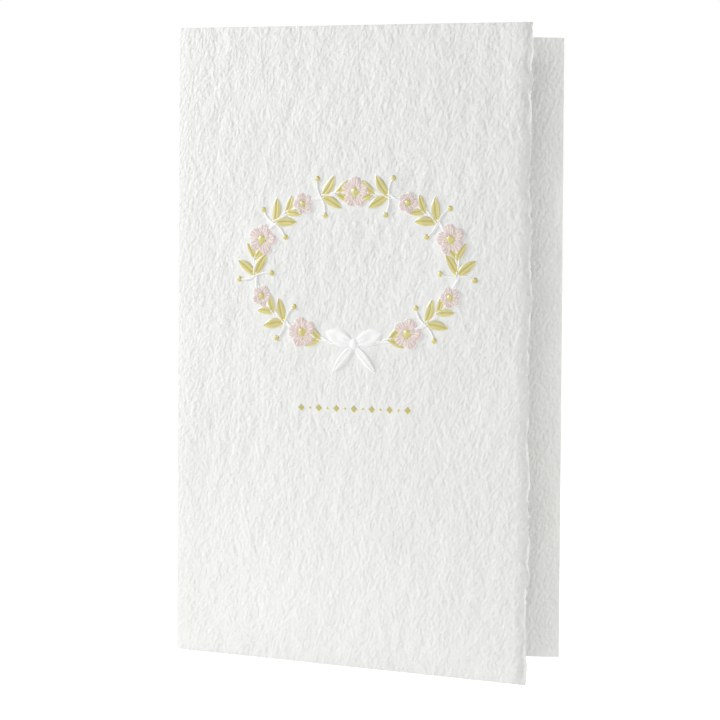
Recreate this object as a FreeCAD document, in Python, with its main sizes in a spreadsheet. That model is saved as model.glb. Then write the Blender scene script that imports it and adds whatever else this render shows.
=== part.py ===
"""A greeting card: one folded sheet of handmade paper that stands a little open.

Lengths are in millimetres and angles in degrees. The fold stands at the left, the front panel
faces -Y with its torn edge at the right, and the back panel opens away behind it. Both panels
stand on z = 0. The origin lies under the middle of the card's box.
"""

import FreeCAD, Part
import math
import os
import Sketcher

NODE = "folded_card"

# The driving sizes, each with its alias in the sheet.
SIZES = {
    # the folded sheet
    "card_height": 178.0,
    "panel_width": 110.7,
    "paper_thickness": 0.6,
    "fold_inner_radius": 0.5,
    "opening_angle": 26.8,
    "trim_lean": 1.2,
    # the torn edge of the front panel
    "feather_length": 2.6,
    "feather_tip": 0.2,
    "tear_depth": 1.1,
    "tear_wave_long": 64.0,
    "tear_wave_middle": 23.0,
    "tear_wave_short": 8.3,
    "tear_step": 2.0,
    # the embossed wreath
    "emboss_root": 0.2,
    "hollow_depth": 0.25,
    "wreath_from_fold": 57.5,
    "wreath_above_base": 111.0,
    "wreath_half_width": 31.5,
    "wreath_half_height": 21.0,
    "stem_width": 1.7,
    "stem_relief": 0.3,
    "blossom_count": 9,
    "petal_count": 5,
    "petal_radius": 2.1,
    "petal_reach": 2.35,
    "petal_relief": 0.5,
    "button_radius": 1.4,
    "button_relief": 0.7,
    "small_petal_radius": 1.5,
    "small_petal_reach": 1.65,
    "small_button_radius": 1.0,
    "leaf_length": 8.0,
    "leaf_width": 3.0,
    "leaf_turn": 42.0,
    "leaf_relief": 0.42,
    "small_leaf_length": 6.4,
    "small_leaf_width": 2.5,
    "small_leaf_turn": 36.0,
    "berry_radius": 0.85,
    "berry_relief": 0.45,
    "berry_outward": 5.2,
    # the bow under the wreath
    "bow_loop_length": 9.5,
    "bow_loop_width": 4.8,
    "bow_loop_rise": 20.0,
    "bow_tail_length": 10.5,
    "bow_tail_width": 2.6,
    "bow_tail_fall": 50.0,
    "bow_relief": 0.5,
    "knot_radius": 1.5,
    # the ornament row below
    "row_above_base": 72.0,
    "row_pitch": 2.75,
    "row_pairs": 6,
    "lozenge_radius": 1.15,
    "row_dot_radius": 0.4,
    "row_relief": 0.2,
}
# The torn edge's three waves: each one's share of the depth, its length and where it starts.
TEAR_WAVES = (
    (0.45, "tear_wave_long", 0.4),
    (0.33, "tear_wave_middle", 1.9),
    (0.22, "tear_wave_short", 0.7),
)
# Where the leaves and berries stand between two blossoms, as shares of the way.
LEAF_SHARE = 0.34
SMALL_LEAF_SHARE = 0.60
BERRY_SHARE = 0.36
# The two leaves of a pair cross on the stem: each foot lies past its middle by this share of it.
FOOT_SHARE = 0.25
# The small motifs' outlines have this many flats.
LOZENGE_FLATS = 4
BERRY_FLATS = 10
DENT_FLATS = 14
# The oval is walked in this many steps.
OVAL_STEPS = 720

doc = FreeCAD.newDocument("greeting_card")
sheet = doc.addObject("Spreadsheet::Sheet", "sizes")
for row, (alias, number) in enumerate(SIZES.items(), start=1):
    sheet.set(f"A{row}", alias)
    sheet.set(f"B{row}", str(number))
    sheet.setAlias(f"B{row}", alias)
doc.recompute()


def size(alias):
    """The number in the sheet's cell of that name."""
    return float(getattr(sheet, alias))


def bind(thing, **formulas):
    """Ties properties to the sheet, where a formula's words are the sheet's aliases."""
    for name, formula in formulas.items():
        words = [
            f"<<sizes>>.{word}" if word in SIZES else word for word in formula.split()
        ]
        thing.setExpression(name.replace("__", "."), " ".join(words))


def plane(body, role):
    """One of the body's own origin planes."""
    for feature in body.Origin.OriginFeatures:
        if feature.Role == role:
            return feature
    raise LookupError(role)


def new_sketch(body, name, depth=None):
    """A sketch on the body's XY plane, or as far below it as the formula says."""
    sketch = body.newObject("Sketcher::SketchObject", name)
    sketch.AttachmentSupport = [(plane(body, "XY_Plane"), "")]
    sketch.MapMode = "FlatFace"
    if depth:
        bind(sketch, AttachmentOffset__Base__z=f"-1 * ( {depth} )")
    return sketch


def dimension(sketch, kind, *where, name, value, formula):
    """A named sketch dimension, drawn at a value and tied to the sheet."""
    index = sketch.addConstraint(Sketcher.Constraint(kind, *where, value))
    sketch.renameConstraint(index, name)
    bind(sketch, **{f"Constraints__{name}": formula})


def new_pad(body, sketch, name, length):
    """Raises a sketch by the length that the formula says."""
    pad = body.newObject("PartDesign::Pad", name)
    pad.Profile = sketch
    bind(pad, Length=length)
    return pad


# The folded sheet: its section seen from above, drawn round the fold's centre.
START, END, CENTRE = 1, 2, 3
ORIGIN = (-1, 1)
X_AXIS = -1
Y_AXIS = -2


def fold_section(body):
    """The sheet's section: front panel, rounded fold, back panel, and the front's thin edge."""
    inner = size("fold_inner_radius")
    thick = size("paper_thickness")
    outer = inner + thick
    reach = size("panel_width") - outer
    feather = reach - size("feather_length")
    thin = (thick - size("feather_tip")) / 2
    turn = math.radians(size("opening_angle"))
    along = FreeCAD.Vector(math.cos(turn), math.sin(turn), 0)
    across = FreeCAD.Vector(-math.sin(turn), math.cos(turn), 0)
    up = FreeCAD.Vector(0, 0, 1)
    at_fold = FreeCAD.Vector(0, 0, 0)

    corners = [
        FreeCAD.Vector(feather, -outer, 0),
        FreeCAD.Vector(0, -outer, 0),
        across * outer,
        across * outer + along * reach,
        across * inner + along * reach,
        across * inner,
        FreeCAD.Vector(0, -inner, 0),
        FreeCAD.Vector(feather, -inner, 0),
        FreeCAD.Vector(reach, -inner - thin, 0),
        FreeCAD.Vector(reach, -outer + thin, 0),
    ]
    sketch = new_sketch(body, "sheet_section")
    curves = {
        1: Part.ArcOfCircle(
            Part.Circle(at_fold, up, outer), math.pi / 2 + turn, 1.5 * math.pi
        ),
        5: Part.ArcOfCircle(
            Part.Circle(at_fold, up, inner), math.pi / 2 + turn, 1.5 * math.pi
        ),
    }
    for side, corner in enumerate(corners):
        following = corners[(side + 1) % len(corners)]
        sketch.addGeometry(curves.get(side) or Part.LineSegment(corner, following))

    front_out, fold_out, back_out, back_end, back_in = range(5)
    fold_in, front_in, thin_in, front_end, thin_out = range(5, 10)
    meets = [
        ("Tangent", front_out, END, fold_out, END),
        ("Tangent", fold_out, START, back_out, START),
        ("Coincident", back_out, END, back_end, START),
        ("Coincident", back_end, END, back_in, START),
        ("Tangent", back_in, END, fold_in, START),
        ("Tangent", fold_in, END, front_in, START),
        ("Coincident", front_in, END, thin_in, START),
        ("Coincident", thin_in, END, front_end, START),
        ("Coincident", front_end, END, thin_out, START),
        ("Coincident", thin_out, END, front_out, START),
        ("Coincident", fold_out, CENTRE, *ORIGIN),
        ("Coincident", fold_in, CENTRE, *ORIGIN),
        ("Horizontal", front_out),
        ("Horizontal", front_in),
        ("Vertical", front_end),
        ("Parallel", back_out, back_in),
        ("Perpendicular", back_out, back_end),
        ("Vertical", front_in, END, front_out, START),
        ("Equal", thin_in, thin_out),
    ]
    for rule in meets:
        sketch.addConstraint(Sketcher.Constraint(*rule))

    outside = "fold_inner_radius + paper_thickness"
    dimension(
        sketch, "Radius", fold_in,
        name="inner_radius", value=inner, formula="fold_inner_radius",
    )
    dimension(
        sketch, "Radius", fold_out,
        name="outer_radius", value=outer, formula=outside,
    )
    dimension(
        sketch, "Angle", X_AXIS, START, back_out, START,
        name="opening", value=turn, formula="opening_angle * 1 deg",
    )
    dimension(
        sketch, "Distance", back_out,
        name="back_reach", value=reach, formula=f"panel_width - ( {outside} )",
    )
    dimension(
        sketch, "DistanceX", *ORIGIN, front_end, START,
        name="front_reach", value=reach, formula=f"panel_width - ( {outside} )",
    )
    dimension(
        sketch, "DistanceX", front_in, END, front_end, START,
        name="feather", value=size("feather_length"), formula="feather_length",
    )
    dimension(
        sketch, "Distance", front_end,
        name="thin_end", value=size("feather_tip"), formula="feather_tip",
    )
    return sketch


def folded_sheet():
    """Both panels, raised from the section along the lean that the sheet was trimmed to."""
    body = doc.addObject("PartDesign::Body", "folded_sheet")
    section = fold_section(body)
    panels = new_pad(body, section, "panels", "card_height")
    panels.UseCustomVector = True
    panels.AlongSketchNormal = True
    lean = math.radians(size("trim_lean"))
    panels.Direction = FreeCAD.Vector(-math.tan(lean), 0, 1)
    bind(panels, Direction__x="-1 * tan( trim_lean * 1 deg )")
    return body


def torn_inset(height):
    """How far the torn edge lies inside the full width at a height: three waves added up."""
    wave = 0.0
    for share, length, start in TEAR_WAVES:
        wave += share * math.sin(2 * math.pi * height / size(length) + start)
    return size("tear_depth") * (1 + wave) / 2


def torn_strip():
    """The strip that is torn away from the front panel's free edge."""
    height = size("card_height")
    reach = size("panel_width") - size("fold_inner_radius") - size("paper_thickness")
    front = size("fold_inner_radius") + size("paper_thickness")
    margin = 2 * size("tear_depth") + size("paper_thickness")
    steps = math.ceil((height + 2 * margin) / size("tear_step"))
    lean = math.tan(math.radians(size("trim_lean")))
    points = []
    for step in range(steps + 1):
        z = -margin + (height + 2 * margin) * step / steps
        points.append(FreeCAD.Vector(reach - torn_inset(z) - z * lean, -front - margin, z))
    tear = Part.BSplineCurve()
    tear.interpolate(points)
    beyond = FreeCAD.Vector(reach + margin + height * lean, 0, 0)
    low_corner = FreeCAD.Vector(beyond.x, points[0].y, points[0].z)
    high_corner = FreeCAD.Vector(beyond.x, points[-1].y, points[-1].z)
    outline = Part.Wire(
        [
            tear.toShape(),
            Part.makeLine(points[-1], high_corner),
            Part.makeLine(high_corner, low_corner),
            Part.makeLine(low_corner, points[0]),
        ]
    )
    depth = 2 * margin + size("paper_thickness")
    strip = doc.addObject("Part::Feature", "torn_strip")
    strip.Shape = Part.Face(outline).extrude(FreeCAD.Vector(0, depth, 0))
    return strip


# The embossed motifs, each drawn flat with its root below z = 0 and its relief above.
def leaf_shape(name, length, width, relief):
    """A pointed leaf of two equal arcs, with its foot at the origin and its tip along +X."""
    body = doc.addObject("PartDesign::Body", name)
    sketch = new_sketch(body, name + "_outline", "emboss_root")
    half = size(length) / 2
    rise = size(width) / 2
    radius = (half**2 + rise**2) / (2 * rise)
    reach = math.asin(half / radius)
    up = FreeCAD.Vector(0, 0, 1)
    over = Part.Circle(FreeCAD.Vector(half, rise - radius, 0), up, radius)
    under = Part.Circle(FreeCAD.Vector(half, radius - rise, 0), up, radius)
    quarter = math.pi / 2
    sketch.addGeometry(Part.ArcOfCircle(over, quarter - reach, quarter + reach))
    sketch.addGeometry(Part.ArcOfCircle(under, 3 * quarter - reach, 3 * quarter + reach))
    upper, lower = 0, 1
    rules = [
        ("Coincident", upper, END, *ORIGIN),
        ("Coincident", lower, START, *ORIGIN),
        ("Coincident", upper, START, lower, END),
        ("Equal", upper, lower),
        ("PointOnObject", upper, START, X_AXIS),
    ]
    for rule in rules:
        sketch.addConstraint(Sketcher.Constraint(*rule))
    dimension(
        sketch, "DistanceX", *ORIGIN, upper, START,
        name="leaf_reach", value=size(length), formula=length,
    )
    dimension(
        sketch, "Radius", upper,
        name="bow", value=radius,
        formula=f"( {length} * {length} + {width} * {width} ) / ( 4 * {width} )",
    )
    new_pad(body, sketch, name + "_relief", f"emboss_root + {relief}")
    return body


def petals_shape(name, radius, reach):
    """The round petals of a plain blossom, one of them pointing along +Y."""
    body = doc.addObject("PartDesign::Body", name)
    petal = new_sketch(body, name + "_outline", "emboss_root")
    centre = FreeCAD.Vector(0, size(reach), 0)
    petal.addGeometry(Part.Circle(centre, FreeCAD.Vector(0, 0, 1), size(radius)))
    petal.addConstraint(Sketcher.Constraint("PointOnObject", 0, CENTRE, Y_AXIS))
    dimension(
        petal, "DistanceY", *ORIGIN, 0, CENTRE,
        name="reach", value=size(reach), formula=reach,
    )
    dimension(petal, "Radius", 0, name="round", value=size(radius), formula=radius)
    raised = new_pad(body, petal, name + "_petal", "emboss_root + petal_relief")
    ring = body.newObject("PartDesign::PolarPattern", name + "_ring")
    ring.Originals = [raised]
    ring.Axis = (petal, ["N_Axis"])
    ring.Angle = 360
    bind(ring, Occurrences="petal_count")
    body.Tip = ring
    return body


def round_motif(name, radius, relief):
    """A round motif with a flat top, such as a blossom's button."""
    motif = doc.addObject("Part::Cylinder", name)
    bind(motif, Radius=radius, Height=f"emboss_root + {relief}")
    bind(motif, Placement__Base__z="-1 * emboss_root")
    return motif


def facet_motif(name, flats, radius, relief):
    """A small motif with a regular outline of flats: a lozenge, a berry, a dot or a dent."""
    motif = doc.addObject("Part::Prism", name)
    motif.Polygon = flats
    bind(motif, Circumradius=radius, Height=f"emboss_root + {relief}")
    bind(motif, Placement__Base__z="-1 * emboss_root")
    return motif


def oval_angles():
    """Angles round the wreath's oval from its lowest point, with the length walked to each."""
    wide = size("wreath_half_width")
    high = size("wreath_half_height")
    walked = 0.0
    before = FreeCAD.Vector(0, -high, 0)
    stops = [(walked, -math.pi / 2)]
    for step in range(1, OVAL_STEPS + 1):
        angle = 2 * math.pi * step / OVAL_STEPS - math.pi / 2
        here = FreeCAD.Vector(wide * math.cos(angle), high * math.sin(angle), 0)
        walked += (here - before).Length
        before = here
        stops.append((walked, angle))
    return stops


STOPS = oval_angles()


def on_wreath(share, outward=0.0):
    """The spot and the heading at a share of the way round the oval, from its lowest point."""
    goal = (share % 1.0) * STOPS[-1][0]
    past = next(number for number, stop in enumerate(STOPS) if stop[0] >= goal and number)
    (low_walk, low_angle), (high_walk, high_angle) = STOPS[past - 1], STOPS[past]
    part = (goal - low_walk) / (high_walk - low_walk)
    angle = low_angle + (high_angle - low_angle) * part
    wide = size("wreath_half_width")
    high = size("wreath_half_height")
    ahead = FreeCAD.Vector(-wide * math.sin(angle), high * math.cos(angle), 0)
    ahead.normalize()
    away = FreeCAD.Vector(ahead.y, -ahead.x, 0)
    spot = FreeCAD.Vector(wide * math.cos(angle), high * math.sin(angle), 0)
    return spot + away * outward, math.degrees(math.atan2(ahead.y, ahead.x))


def place_copy(motif, spot, heading=0.0):
    """One linked copy of a motif at a spot of the panel's face, turned in that face."""
    copy = doc.addObject("App::Link", motif.Name + "_copy")
    copy.LinkedObject = motif
    turn = FreeCAD.Rotation(FreeCAD.Vector(0, 0, 1), heading)
    copy.Placement = FreeCAD.Placement(spot + motif.Placement.Base, turn)
    return copy


def stem_ring():
    """The wreath's oval stem, as wide as its two twined shoots."""
    half = size("stem_width") / 2
    wide = size("wreath_half_width")
    high = size("wreath_half_height")
    root = size("emboss_root")
    faces = []
    for offset in (half, -half):
        oval = Part.Ellipse(FreeCAD.Vector(0, 0, -root), wide + offset, high + offset)
        faces.append(Part.Face(Part.Wire(oval.toShape())))
    ring = doc.addObject("Part::Feature", "stem_ring")
    rise = FreeCAD.Vector(0, 0, root + size("stem_relief"))
    ring.Shape = faces[0].cut(faces[1]).extrude(rise)
    return ring


def leaf_pairs():
    """Two leaf pairs before each blossom, growing up both sides from the bow to the top."""
    leaf = leaf_shape("leaf", "leaf_length", "leaf_width", "leaf_relief")
    small = leaf_shape("small_leaf", "small_leaf_length", "small_leaf_width", "leaf_relief")
    doc.recompute()
    places = round(size("blossom_count")) + 1
    kinds = (
        (leaf, LEAF_SHARE, size("leaf_turn")),
        (small, SMALL_LEAF_SHARE, size("small_leaf_turn")),
    )
    leaves = []
    for climb, back in ((1, 0.0), (-1, 180.0)):
        for gap in range(places // 2):
            for motif, share, turn in kinds:
                if gap == 0 and motif is leaf:
                    continue
                for side in (1, -1):
                    past = climb * side * FOOT_SHARE * size("stem_width")
                    spot, heading = on_wreath(climb * (gap + share) / places, past)
                    leaves.append(place_copy(motif, spot, heading + back + side * turn))
    return leaves


def bow():
    """The bow's two loops and two tails, which meet at the oval's lowest point."""
    loop = leaf_shape("bow_loop", "bow_loop_length", "bow_loop_width", "bow_relief")
    tail = leaf_shape("bow_tail", "bow_tail_length", "bow_tail_width", "bow_relief")
    doc.recompute()
    foot, _ = on_wreath(0)
    rise = size("bow_loop_rise")
    fall = size("bow_tail_fall")
    return [
        place_copy(loop, foot, rise),
        place_copy(loop, foot, 180.0 - rise),
        place_copy(tail, foot, -fall),
        place_copy(tail, foot, 180.0 + fall),
    ]


def wreath():
    """The wreath's broad shapes, the round ones on them, and the dents behind the blossoms."""
    large = petals_shape("petals", "petal_radius", "petal_reach")
    small = petals_shape("small_petals", "small_petal_radius", "small_petal_reach")
    button = round_motif("button", "button_radius", "button_relief")
    small_button = round_motif("small_button", "small_button_radius", "button_relief")
    berry = facet_motif("berry", BERRY_FLATS, "berry_radius", "berry_relief")
    dent = facet_motif("dent", DENT_FLATS, "petal_reach + petal_radius / 2", "hollow_depth")
    knot = round_motif("knot", "knot_radius", "button_relief")
    doc.recompute()

    broad = [stem_ring(), *leaf_pairs(), *bow()]
    foot, _ = on_wreath(0)
    fine = [place_copy(knot, foot)]
    dents = []
    blossoms = round(size("blossom_count"))
    places = blossoms + 1
    for number in range(1, places):
        spot, heading = on_wreath(number / places)
        if number % 2:
            broad.append(place_copy(large, spot, heading + 180.0))
            fine.append(place_copy(button, spot))
        else:
            broad.append(place_copy(small, spot, heading + 180.0))
            fine.append(place_copy(small_button, spot))
        dents.append(place_copy(dent, spot))
    for climb in (1, -1):
        for gap in range(1, places // 2):
            for side in (1, -1):
                outward = side * size("berry_outward")
                spot, _ = on_wreath(climb * (gap + BERRY_SHARE) / places, outward)
                fine.append(place_copy(berry, spot))
    return broad, fine, dents


def ornament_row():
    """A short row of lozenges with a dot between each two, flat round its own middle."""
    lozenge = facet_motif("lozenge", LOZENGE_FLATS, "lozenge_radius", "row_relief")
    dot = facet_motif("row_dot", BERRY_FLATS, "row_dot_radius", "row_relief")
    doc.recompute()
    pairs = round(size("row_pairs"))
    pieces = []
    for place in range(-pairs, pairs + 1):
        motif = lozenge if (place + pairs) % 2 == 0 else dot
        pieces.append(place_copy(motif, FreeCAD.Vector(place * size("row_pitch"), 0, 0)))
    return pieces


def joined(name, kind, pieces):
    """Several pieces as one object, fused or only kept together."""
    whole = doc.addObject(kind, name)
    if kind == "Part::MultiFuse":
        whole.Shapes = pieces
    else:
        whole.Links = pieces
    return whole


def panel_spot(from_fold, above_base, depth):
    """A placement on the front panel: flat motifs face outwards and follow the sheet's lean."""
    lean = math.radians(size("trim_lean"))
    outer = size("fold_inner_radius") + size("paper_thickness")
    spot = FreeCAD.Vector(
        from_fold - outer - above_base * math.tan(lean), depth - outer, above_base
    )
    upright = FreeCAD.Rotation(FreeCAD.Vector(1, 0, 0), 90)
    leaning = FreeCAD.Rotation(FreeCAD.Vector(0, 1, 0), -size("trim_lean"))
    return FreeCAD.Placement(spot, leaning.multiply(upright))


def put_on_panel(motif, name, from_fold, above_base, depth=0.0):
    """One linked copy of a finished motif on the front panel's face, or deeper."""
    copy = doc.addObject("App::Link", name)
    copy.LinkedObject = motif
    copy.Placement = panel_spot(from_fold, above_base, depth)
    return copy


def greeting_card():
    """The finished card: the torn sheet, embossed from behind, with its raised motifs."""
    torn = doc.addObject("Part::Cut", "torn_sheet")
    torn.Base = folded_sheet()
    torn.Tool = torn_strip()

    broad, fine, dents = wreath()
    relief = joined("wreath", "Part::MultiFuse", broad)
    rounds = joined("wreath_rounds", "Part::Compound", fine)
    row = joined("ornament_row", "Part::Compound", ornament_row())
    place = (size("wreath_from_fold"), size("wreath_above_base"))
    raised = put_on_panel(relief, "wreath_raised", *place)
    studs = put_on_panel(rounds, "rounds_raised", *place)
    line = put_on_panel(row, "row_raised", place[0], size("row_above_base"))
    behind = joined("blossom_dents", "Part::Compound", dents)
    pressed = doc.addObject("Part::Cut", "pressed_sheet")
    pressed.Base = torn
    pressed.Tool = put_on_panel(behind, "dents_behind", *place, size("paper_thickness"))
    doc.recompute()

    card = joined(NODE, "Part::MultiFuse", [pressed, raised, studs, line])
    card.Refine = True
    doc.recompute()
    box = card.Shape.BoundBox
    card.Placement.Base = FreeCAD.Vector(-box.Center.x, -box.Center.y, -box.ZMin)
    card.Label = NODE
    doc.recompute()
    return card


def check(card):
    """Stops the script if anything failed, or if the card isn't one valid solid."""
    for thing in doc.Objects:
        if "Invalid" in thing.State or "Error" in thing.State:
            raise RuntimeError(f"{thing.Name} failed: {thing.State}")
    shape = card.Shape
    if shape.isNull() or not shape.isValid():
        raise RuntimeError(f"{card.Label} has no valid shape")
    if len(shape.Solids) != 1:
        raise RuntimeError(f"{card.Label} has {len(shape.Solids)} solids and not one")


card = greeting_card()
check(card)
os.makedirs("parts", exist_ok=True)
card.Shape.exportStep(f"parts/{card.Label}.step")
box = card.Shape.BoundBox
print(f"{card.Label}: {box.XLength:.2f} x {box.YLength:.2f} x {box.ZLength:.2f} mm")
print(f"volume {card.Shape.Volume:.1f} mm3, {len(card.Shape.Faces)} faces")
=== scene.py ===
# %% [markdown]
# # A greeting card of handmade paper
#
# The object is one sheet of thick white handmade paper, folded once, standing a little open. Its
# front panel ends in a torn edge and carries a wreath that was pressed from behind and printed.
# The measured model is loaded first and stays fixed: everything here is placed from it.

# %% Load the measured card
import math

import bmesh
import bpy
from mathutils import Matrix, Vector, noise


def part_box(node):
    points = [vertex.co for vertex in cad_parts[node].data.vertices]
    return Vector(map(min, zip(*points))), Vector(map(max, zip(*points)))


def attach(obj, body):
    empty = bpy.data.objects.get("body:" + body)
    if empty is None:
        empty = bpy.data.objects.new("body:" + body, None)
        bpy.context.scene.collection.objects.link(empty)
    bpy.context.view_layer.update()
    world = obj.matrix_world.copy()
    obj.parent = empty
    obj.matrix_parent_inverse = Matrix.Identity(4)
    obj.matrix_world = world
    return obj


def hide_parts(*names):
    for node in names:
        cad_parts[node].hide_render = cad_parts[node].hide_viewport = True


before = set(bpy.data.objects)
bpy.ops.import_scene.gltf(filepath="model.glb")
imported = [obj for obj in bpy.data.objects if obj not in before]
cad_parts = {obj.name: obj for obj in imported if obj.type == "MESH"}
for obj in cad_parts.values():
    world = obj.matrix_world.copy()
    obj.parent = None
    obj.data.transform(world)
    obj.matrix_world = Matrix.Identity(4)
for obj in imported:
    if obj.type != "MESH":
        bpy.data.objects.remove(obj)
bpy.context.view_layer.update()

low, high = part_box("folded_card")
print("card box in mm:", [round(1000 * side, 2) for side in high - low])

# %% [markdown]
# ## The card's own sizes
#
# A card like this is described by a few numbers: how thick the paper is, how tight the fold, how
# far it stands open. They are written once, in metres, and the rest follows from them and from
# the measured box. The sheet was trimmed a little out of square, so its fold leans by LEAN.

# %% Sizes of the sheet
MM = 0.001
THICKNESS = 0.6 * MM
FOLD_INSIDE = 0.5 * MM
FOLD_OUTSIDE = FOLD_INSIDE + THICKNESS
FOLD_MIDDLE = FOLD_INSIDE + THICKNESS / 2
REACH = 110.7 * MM - FOLD_OUTSIDE
OPENING = math.radians(26.8)
LEAN = math.radians(1.2)
BUTTON_RELIEF = 0.7 * MM
HEIGHT = high.z - low.z
FACE_Y = low.y + BUTTON_RELIEF
FOLD_CENTRE = Vector((low.x + FOLD_OUTSIDE + HEIGHT * math.tan(LEAN), FACE_Y + FOLD_OUTSIDE, 0))
FOLD_SWEEP = math.pi - OPENING
print("fold centre in mm:", [round(side / MM, 2) for side in FOLD_CENTRE])

# %% [markdown]
# ## How handmade paper lies
#
# Paper that dries on a felt is never flat. It has a slow swell over a few centimetres, called
# cockle, lumps a few millimetres wide, and a short grain where fibres clumped. All three are
# noise read at a point, so the sheet and everything pressed into it can ask for the same height
# and stay together. The swell sinks inwards, because the measured box holds only the flat face.

# %% Cockle, lumps and grain
COCKLE_DEPTH = 0.28 * MM
COCKLE_LENGTH = 34 * MM
COCKLE_SINK = 0.85
LUMP_DEPTH = 0.18 * MM
LUMP_WIDTH = 3.6 * MM
LUMP_LENGTH = 8 * MM
GRAIN_DEPTH = 0.155 * MM
GRAIN_WIDTH = 1.6 * MM
GRAIN_LENGTH = 2.4 * MM
GRAIN_LEAN = math.radians(17)
GRAIN_FALLOFF = 0.8
GRAIN_OCTAVES = 2
OCTAVE_STEP = 2.0
# Each kind of noise reads a layer of its own, so no two repeat each other.
COCKLE_LAYER = 3.7
LUMP_LAYER = 11.3
SIDE_LAYER = 20


def leaning(along, up):
    """A place measured across the grain and along it."""
    across = along * math.cos(GRAIN_LEAN) - up * math.sin(GRAIN_LEAN)
    return across, along * math.sin(GRAIN_LEAN) + up * math.cos(GRAIN_LEAN)


def cockle(along, up):
    """The slow swell and the lumps of a panel at a place, outwards."""
    slow = noise.noise(Vector((along / COCKLE_LENGTH, up / COCKLE_LENGTH, COCKLE_LAYER)))
    across, upward = leaning(along, up)
    lump = noise.noise(Vector((across / LUMP_WIDTH, upward / LUMP_LENGTH, LUMP_LAYER)))
    return COCKLE_DEPTH * (slow - COCKLE_SINK) + LUMP_DEPTH * lump


def grain(along, up, side):
    """The short leaning grain; each side of the sheet has its own."""
    across, upward = leaning(along, up)
    place = Vector((across / GRAIN_WIDTH, upward / GRAIN_LENGTH, SIDE_LAYER * side))
    return GRAIN_DEPTH * noise.fractal(place, GRAIN_FALLOFF, OCTAVE_STEP, GRAIN_OCTAVES)


spread = [cockle(10 * MM * step, 17 * MM * step) / MM for step in range(12)]
print("cockle from", round(min(spread), 2), "to", round(max(spread), 2), "mm")

# %% [markdown]
# ## Where the wreath's parts go
#
# The wreath is laid out along an oval, walked from its lowest point by equal lengths, because
# equal angles would crowd the blossoms at the ends. Leaves grow up both sides from the bow to
# the top. The lists made here place the printed parts and also tell the sheet where it is
# pressed smooth.

# %% The oval and its places
WREATH_FROM_FOLD = 57.5 * MM
WREATH_ABOVE_BASE = 111 * MM
OVAL_WIDE = 31.5 * MM
OVAL_HIGH = 21 * MM
OVAL_STEPS = 720
BLOSSOMS = 9
PLACES = BLOSSOMS + 1


def walk_oval():
    """Angles round the oval from its lowest point, with the length walked to each."""
    walked = 0.0
    before = Vector((0, -OVAL_HIGH))
    stops = [(walked, -math.pi / 2)]
    for step in range(1, OVAL_STEPS + 1):
        angle = 2 * math.pi * step / OVAL_STEPS - math.pi / 2
        here = Vector((OVAL_WIDE * math.cos(angle), OVAL_HIGH * math.sin(angle)))
        walked += (here - before).length
        before = here
        stops.append((walked, angle))
    return stops


STOPS = walk_oval()


def on_oval(share, outward=0.0):
    """The spot and the heading at a share of the way round."""
    goal = (share % 1.0) * STOPS[-1][0]
    first, last = 1, OVAL_STEPS
    while first < last:
        middle = (first + last) // 2
        if STOPS[middle][0] < goal:
            first = middle + 1
        else:
            last = middle
    (low_walk, low_angle), (high_walk, high_angle) = STOPS[first - 1], STOPS[first]
    angle = low_angle + (high_angle - low_angle) * (goal - low_walk) / (high_walk - low_walk)
    ahead = Vector((-OVAL_WIDE * math.sin(angle), OVAL_HIGH * math.cos(angle))).normalized()
    spot = Vector((OVAL_WIDE * math.cos(angle), OVAL_HIGH * math.sin(angle)))
    return spot + Vector((ahead.y, -ahead.x)) * outward, math.atan2(ahead.y, ahead.x)


def panel_matrix(from_fold, above_base):
    """From a flat drawing to the front panel: x along it, y up it and z out of it."""
    spot = Vector((from_fold - FOLD_OUTSIDE - above_base * math.tan(LEAN), 0, above_base))
    spot += Vector((FOLD_CENTRE.x, FACE_Y, 0))
    turn = Matrix.Rotation(-LEAN, 4, "Y") @ Matrix.Rotation(math.pi / 2, 4, "X")
    return Matrix.Translation(spot) @ turn


WREATH = panel_matrix(WREATH_FROM_FOLD, WREATH_ABOVE_BASE)
print("the oval is", round(STOPS[-1][0] / MM, 1), "mm round")

# %% Lists of blossoms, leaves, berries and the bow
STEM_WIDTH = 1.7 * MM
LARGE_BLOSSOM = {"radius": 2.1 * MM, "reach": 2.35 * MM, "button": 1.4 * MM}
SMALL_BLOSSOM = {"radius": 1.5 * MM, "reach": 1.65 * MM, "button": 1.0 * MM}
LARGE_LEAF = {"length": 8.0 * MM, "width": 3.0 * MM, "turn": math.radians(42), "share": 0.34}
SMALL_LEAF = {"length": 6.4 * MM, "width": 2.5 * MM, "turn": math.radians(36), "share": 0.60}
BERRY_RADIUS = 0.85 * MM
BERRY_OUTWARD = 5.2 * MM
BERRY_SHARE = 0.36
FOOT_SHARE = 0.25

blossoms = []
for number in range(1, PLACES):
    spot, heading = on_oval(number / PLACES)
    blossoms.append((spot, heading + math.pi, LARGE_BLOSSOM if number % 2 else SMALL_BLOSSOM))

leaves = []
for climb in (1, -1):
    for gap in range(PLACES // 2):
        for kind in (LARGE_LEAF, SMALL_LEAF):
            if gap == 0 and kind is LARGE_LEAF:
                continue
            for side in (1, -1):
                past = climb * side * FOOT_SHARE * STEM_WIDTH
                spot, heading = on_oval(climb * (gap + kind["share"]) / PLACES, past)
                if climb < 0:
                    heading += math.pi
                leaves.append((spot, heading + side * kind["turn"], kind, side))

berries = []
for climb in (1, -1):
    for gap in range(1, PLACES // 2):
        for side in (1, -1):
            share = climb * (gap + BERRY_SHARE) / PLACES
            berries.append((on_oval(share, side * BERRY_OUTWARD)[0], on_oval(share)[0]))

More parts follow.
